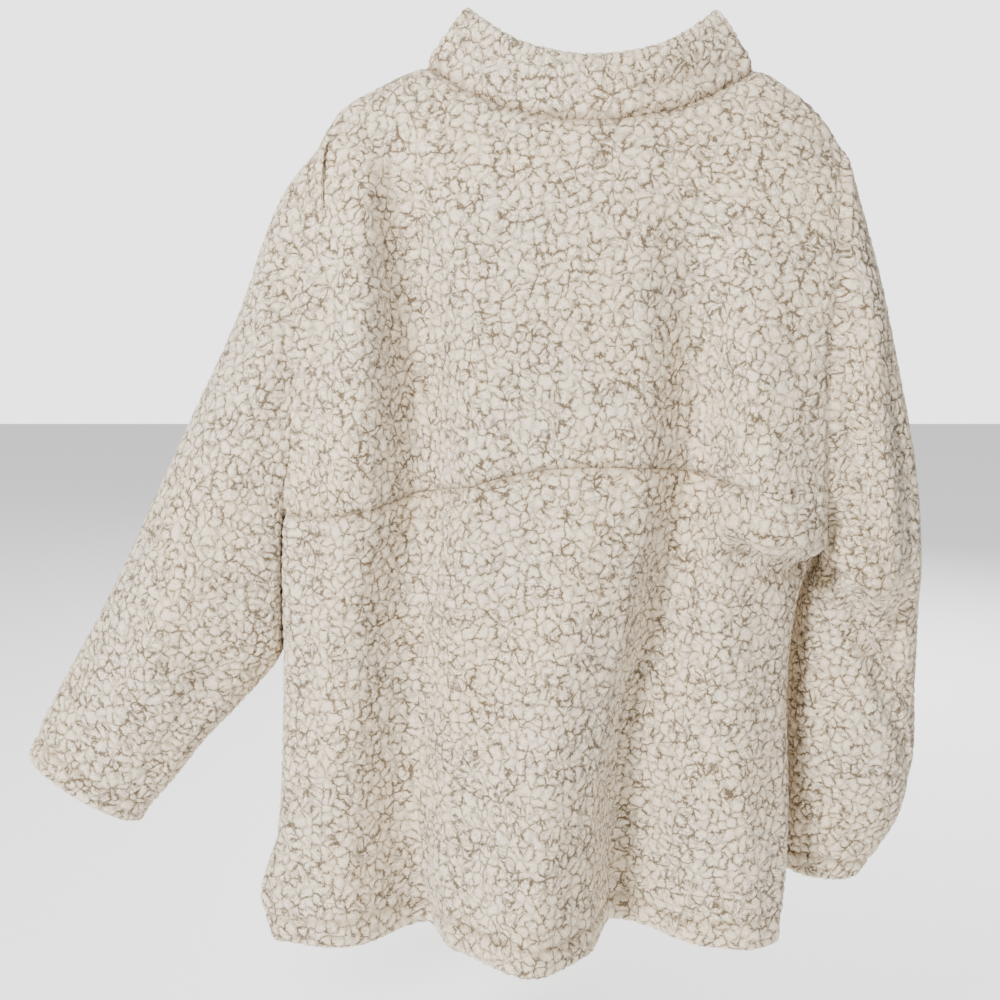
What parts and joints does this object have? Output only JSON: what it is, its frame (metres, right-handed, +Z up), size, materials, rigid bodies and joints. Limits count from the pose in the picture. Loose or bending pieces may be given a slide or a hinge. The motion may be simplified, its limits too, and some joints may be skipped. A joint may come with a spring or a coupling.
{
  "type": "sherpa fleece pullover",
  "caption": "Hip-length curly-pile fleece pullover with dolman sleeves, a seam below the shoulder blades and a stand collar, hanging hollow as worn.",
  "frame": {"origin": "in the neck opening, level with the highest point of the shoulders, where the wearer's neck and shoulders hold the garment", "axes": "+Z up, +Y towards the garment's front, +X towards its right-hand sleeve as seen from behind"},
  "size_m": [0.7313, 0.1973, 0.7308],
  "materials": {
    "sherpa": "curly pile"
  },
  "bodies": {
    "root": {"upper_back": "sherpa", "lower_back": "sherpa", "upper_front": "sherpa", "lower_front": "sherpa", "left_sleeve_back": "sherpa", "left_sleeve_front": "sherpa", "right_sleeve_back": "sherpa", "right_sleeve_front": "sherpa", "collar": "sherpa"}
  },
  "joints": []
}
